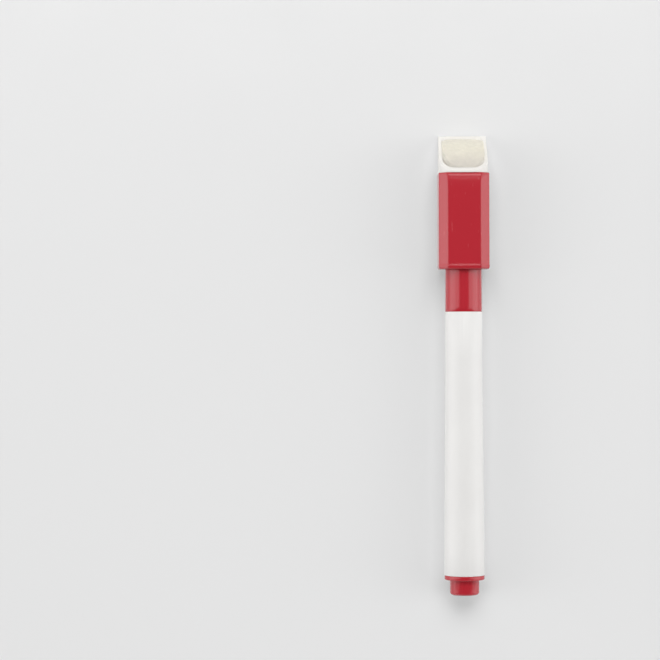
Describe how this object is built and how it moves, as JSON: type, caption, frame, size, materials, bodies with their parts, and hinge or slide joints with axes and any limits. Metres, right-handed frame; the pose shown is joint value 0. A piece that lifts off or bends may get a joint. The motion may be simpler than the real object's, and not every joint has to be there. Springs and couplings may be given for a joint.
{
  "type": "whiteboard marker",
  "caption": "Slim dry-wipe marker: round tapered barrel, fibre nib, and a square pull-off cap with a magnet in its side and a felt eraser on its end.",
  "frame": {"origin": "centre of the magnet's face, on the cap's lower flat side", "axes": "+Y along the marker towards the eraser, -Z out of the magnet face, +X across the marker"},
  "size_m": [0.013, 0.1182, 0.013],
  "materials": {
    "barrel_plastic": "satin",
    "section_plastic": "satin",
    "nib_fibre": "matte",
    "filler_fibre": "matte",
    "wrap_film": "gloss",
    "plug_plastic": "satin",
    "cap_plastic": "satin",
    "liner_plastic": "matte",
    "magnet_ferrite": "matte",
    "adhesive": "satin",
    "holder_plastic": "satin",
    "felt": "matte"
  },
  "bodies": {
    "marker": {"barrel": "barrel_plastic", "front_section": "section_plastic", "nib": "nib_fibre", "ink_filler": "filler_fibre", "filler_film": "wrap_film", "tail_plug": "plug_plastic"},
    "cap": {"cap_shell": "cap_plastic", "inner_cap": "liner_plastic", "magnet": "magnet_ferrite", "magnet_adhesive": "adhesive", "eraser_holder": "holder_plastic", "eraser_felt": "felt", "eraser_adhesive": "adhesive"}
  },
  "joints": [
    {"name": "cap_pull", "type": "slide", "parent": "marker", "child": "cap", "axis": [0, 1, 0], "range_m": [0, 0.03]}
  ]
}
